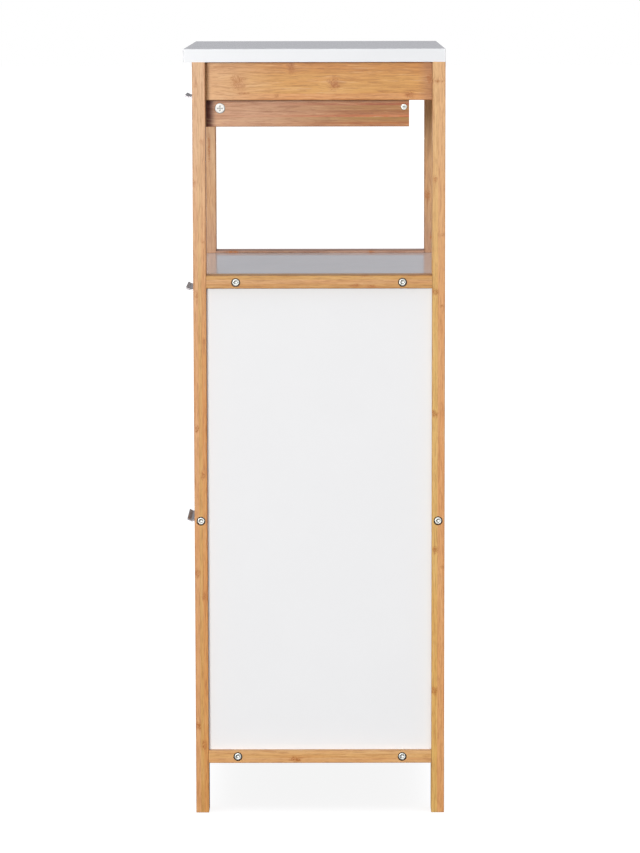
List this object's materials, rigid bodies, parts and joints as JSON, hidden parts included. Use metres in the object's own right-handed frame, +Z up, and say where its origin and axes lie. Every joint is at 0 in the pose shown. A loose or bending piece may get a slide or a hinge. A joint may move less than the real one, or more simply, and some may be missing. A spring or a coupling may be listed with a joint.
{
  "type": "bathroom shelf unit with tilt-out laundry hampers",
  "caption": "Narrow bamboo bathroom shelf unit with a white top, a drawer, an open shelf and tilt-out laundry hampers.",
  "frame": {"origin": "middle of the footprint at floor level, under the middle of the overall box", "axes": "+Z up; the drawer and the hampers open towards -Y; +X is the object's side on the viewer's right when the viewer faces the front, and it is the side that the picture shows"},
  "size_m": [0.4, 0.305, 0.89],
  "materials": {
    "bamboo": "clear satin lacquer",
    "white_board": "white satin lacquer",
    "beech": "bare",
    "zinc_steel": "zinc plated",
    "pull_metal": "satin nickel",
    "rod_steel": "zinc plated",
    "bush_nylon": "moulded",
    "catch_plastic": "moulded",
    "bag_cloth": "plain woven cotton"
  },
  "bodies": {
    "cabinet": {"barrel_nuts": "zinc_steel", "bottom_shelf": "white_board", "cabinet_screws": "zinc_steel", "frame_bolts": "zinc_steel", "front_crossbar": "bamboo", "hinge_pins": "zinc_steel", "left_bottom_rail": "bamboo", "left_drawer_runner": "beech", "left_front_leg": "bamboo", "left_mid_rail": "bamboo", "left_rear_leg": "bamboo", "left_side_panel": "white_board", "left_top_rail": "bamboo", "lower_back_panel": "white_board", "magnetic_catches": "catch_plastic", "mid_shelf": "white_board", "rear_crossbar": "bamboo", "right_bottom_rail": "bamboo", "right_drawer_runner": "beech", "right_front_leg": "bamboo", "right_mid_rail": "bamboo", "right_rear_leg": "bamboo", "right_side_panel": "white_board", "right_top_rail": "bamboo", "top_board": "white_board", "top_cam_bolts": "zinc_steel", "top_cam_locks": "zinc_steel", "upper_back_panel": "white_board", "wood_dowels": "beech"},
    "drawer": {"drawer_back": "bamboo", "drawer_bottom": "white_board", "drawer_cam_bolts": "zinc_steel", "drawer_cam_locks": "zinc_steel", "drawer_front": "white_board", "drawer_left_side": "bamboo", "drawer_pull": "pull_metal", "drawer_right_side": "bamboo", "drawer_screws": "zinc_steel"},
    "upper_hamper": {"upper_hamper_bag": "bag_cloth", "upper_hamper_bushes": "bush_nylon", "upper_hamper_cam_bolts": "zinc_steel", "upper_hamper_cam_locks": "zinc_steel", "upper_hamper_front": "white_board", "upper_hamper_left_stay": "bamboo", "upper_hamper_pull": "pull_metal", "upper_hamper_right_stay": "bamboo", "upper_hamper_rods": "rod_steel", "upper_hamper_screws": "zinc_steel", "upper_hamper_strike_plate": "zinc_steel"},
    "lower_hamper": {"lower_hamper_bag": "bag_cloth", "lower_hamper_bushes": "bush_nylon", "lower_hamper_cam_bolts": "zinc_steel", "lower_hamper_cam_locks": "zinc_steel", "lower_hamper_front": "white_board", "lower_hamper_left_stay": "bamboo", "lower_hamper_pull": "pull_metal", "lower_hamper_right_stay": "bamboo", "lower_hamper_rods": "rod_steel", "lower_hamper_screws": "zinc_steel", "lower_hamper_strike_plate": "zinc_steel"}
  },
  "joints": [
    {"name": "drawer_slide", "type": "slide", "parent": "cabinet", "child": "drawer", "axis": [0, -1, 0], "range_m": [0, 0.18]},
    {"name": "upper_hamper_hinge", "type": "hinge", "parent": "cabinet", "child": "upper_hamper", "pos_m": [0, -0.13, 0.362], "axis": [1, 0, 0], "range_deg": [0, 32]},
    {"name": "lower_hamper_hinge", "type": "hinge", "parent": "cabinet", "child": "lower_hamper", "pos_m": [0, -0.13, 0.083], "axis": [1, 0, 0], "range_deg": [0, 36]}
  ]
}
